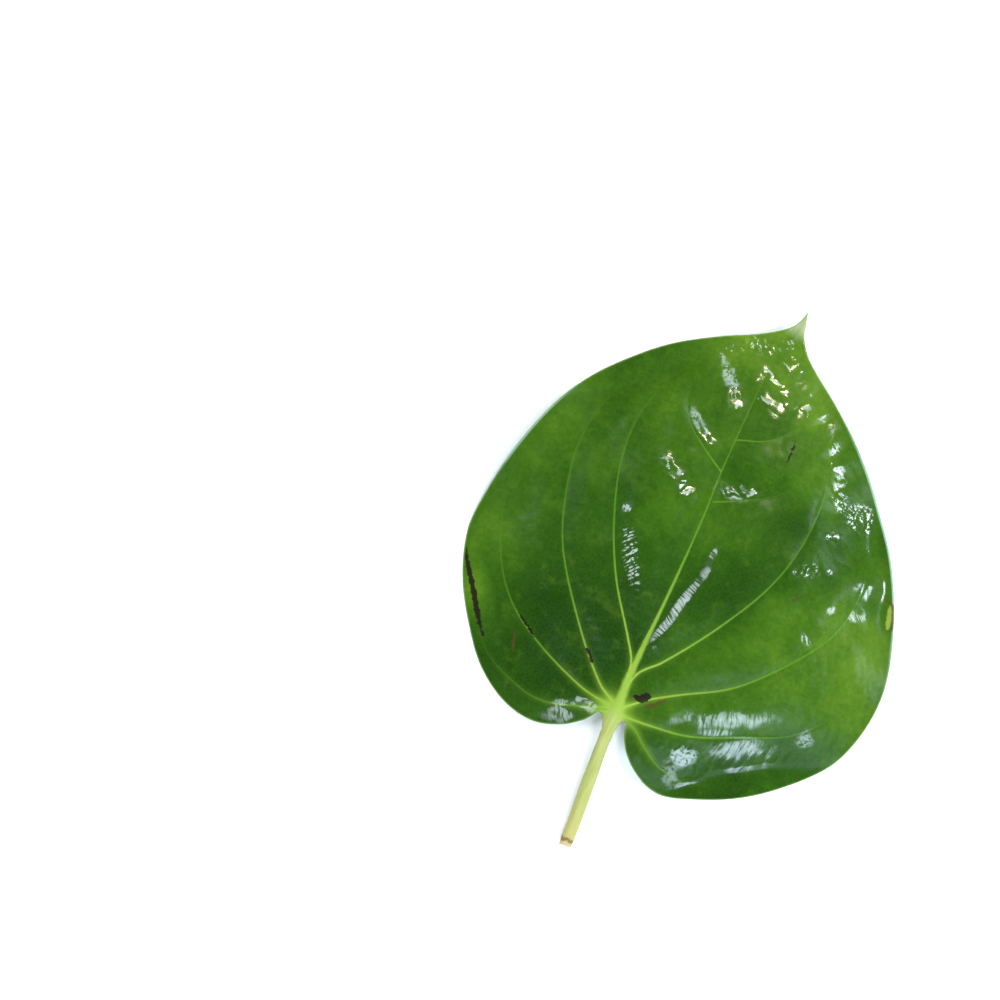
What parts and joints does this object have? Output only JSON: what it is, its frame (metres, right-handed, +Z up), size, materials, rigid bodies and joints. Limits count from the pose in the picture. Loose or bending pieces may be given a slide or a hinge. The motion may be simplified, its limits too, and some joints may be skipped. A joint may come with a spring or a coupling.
{
  "type": "betel leaf",
  "caption": "Heart-shaped fresh green leaf with a drawn-out tip, sunk curved veins, waved edge and short stalk, lying flat.",
  "frame": {"origin": "middle of the leaf's bounding box in plan, on the surface it lies on", "axes": "+Y along the leaf from the stalk's cut end towards the tip, +Z up through the glossy upper face, +X to the leaf's right seen from above"},
  "size_m": [0.1124, 0.1474, 0.009],
  "materials": {
    "leaf": "waxy glossy deep green above, yellow-green along the veins and stalk, paler and duller beneath"
  },
  "bodies": {
    "root": {"betel_leaf": "leaf"}
  },
  "joints": []
}
